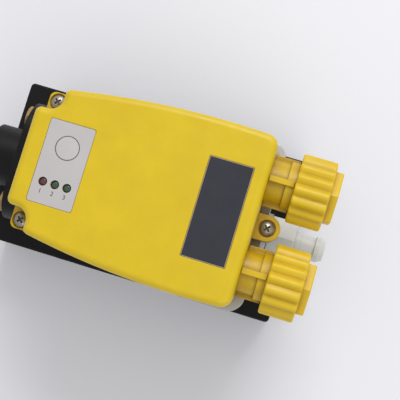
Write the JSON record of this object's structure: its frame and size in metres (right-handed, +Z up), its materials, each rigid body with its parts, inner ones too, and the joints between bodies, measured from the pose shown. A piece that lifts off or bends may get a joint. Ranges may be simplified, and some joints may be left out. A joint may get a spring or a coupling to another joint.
{
  "type": "automatic condensate drain valve",
  "caption": "Level-controlled condensate drain valve with a yellow hood, cable glands, keypad, cast valve housing, black reservoir, flanged inlet connector and hose nozzle.",
  "frame": {"origin": "on the resting face, in the middle of the overall length and width", "axes": "+Z up, +X towards the cable glands and the hose nozzle, +Y towards gland 1"},
  "size_m": [0.16, 0.079, 0.1122],
  "materials": {
    "yellow_plastic": "moulded, light grain",
    "gland_plastic": "moulded, glossier than the hood",
    "plug_plastic": "moulded",
    "panel_film": "fine satin film",
    "plate_slate": "satin, anodised",
    "button_plastic": "satin",
    "lens_red": "clear tinted",
    "lens_green": "clear tinted",
    "board_green": "solder mask",
    "dark_plastic": "potted",
    "rubber_black": "moulded rubber",
    "steel": "turned and plated",
    "chromated_steel": "yellow chromated",
    "cast_aluminium": "as cast, machined faces",
    "brass": "turned",
    "black_paint": "powder coated",
    "black_plastic": "moulded",
    "grey_plastic": "moulded"
  },
  "bodies": {
    "body": {"base_tray": "yellow_plastic", "blanking_plug_1": "plug_plastic", "blanking_plug_2": "plug_plastic", "board_screws": "steel", "button_spring": "steel", "button_switch": "dark_plastic", "circuit_board": "board_green", "coil_nut": "steel", "connector_bolts": "chromated_steel", "connector_seal": "rubber_black", "core_tube": "steel", "cover": "yellow_plastic", "cover_gasket": "rubber_black", "diaphragm": "rubber_black", "diaphragm_cap": "cast_aluminium", "diaphragm_spring": "steel", "gland_seal_1": "rubber_black", "gland_seal_2": "rubber_black", "hose_nozzle": "grey_plastic", "housing_bolts": "steel", "inlet_connector": "black_paint", "inlet_plug": "black_plastic", "keypad_panel": "panel_film", "led_lamp_1": "lens_red", "led_lamp_2": "lens_green", "led_lamp_3": "lens_green", "lower_housing": "cast_aluminium", "name_plate": "plate_slate", "nozzle_ring": "rubber_black", "plunger_spring": "steel", "reservoir": "black_paint", "reservoir_seal": "rubber_black", "sensor_ring": "rubber_black", "sensor_tube": "black_plastic", "solenoid_coil": "dark_plastic", "solenoid_yoke": "steel", "terminal_blocks": "plug_plastic", "transformer": "dark_plastic", "tray_screws": "steel", "tray_seal": "rubber_black", "valve_seat": "brass"},
    "gland_nut_1": {"gland_nut_1": "gland_plastic"},
    "gland_nut_2": {"gland_nut_2": "gland_plastic"},
    "nozzle_nut": {"nozzle_nut": "grey_plastic"},
    "plunger": {"plunger": "steel"},
    "test_button": {"test_button": "button_plastic"},
    "valve_disc": {"valve_disc": "steel"}
  },
  "joints": [
    {"name": "button_press", "type": "slide", "parent": "body", "child": "test_button", "axis": [0, 0, -1], "range_m": [0, 0.0008], "stiffness_N_per_m": 800, "deforming": ["button_spring"]},
    {"name": "plunger_lift", "type": "slide", "parent": "body", "child": "plunger", "axis": [0, 0, 1], "range_m": [0, 0.0016], "stiffness_N_per_m": 300, "deforming": ["plunger_spring"]},
    {"name": "diaphragm_lift", "type": "slide", "parent": "body", "child": "valve_disc", "axis": [0, 0, 1], "range_m": [0, 0.0016], "stiffness_N_per_m": 300, "deforming": ["diaphragm_spring"]},
    {"name": "gland_turn_1", "type": "hinge", "parent": "body", "child": "gland_nut_1", "pos_m": [0.07, 0.0195, 0.097], "axis": [1, 0, 0], "range_deg": [0, 360]},
    {"name": "gland_turn_2", "type": "hinge", "parent": "body", "child": "gland_nut_2", "pos_m": [0.07, -0.0195, 0.097], "axis": [1, 0, 0], "range_deg": [0, 360]},
    {"name": "nozzle_nut_turn", "type": "hinge", "parent": "body", "child": "nozzle_nut", "pos_m": [0.06, 0, 0.0495], "axis": [1, 0, 0], "range_deg": [0, 360]}
  ]
}
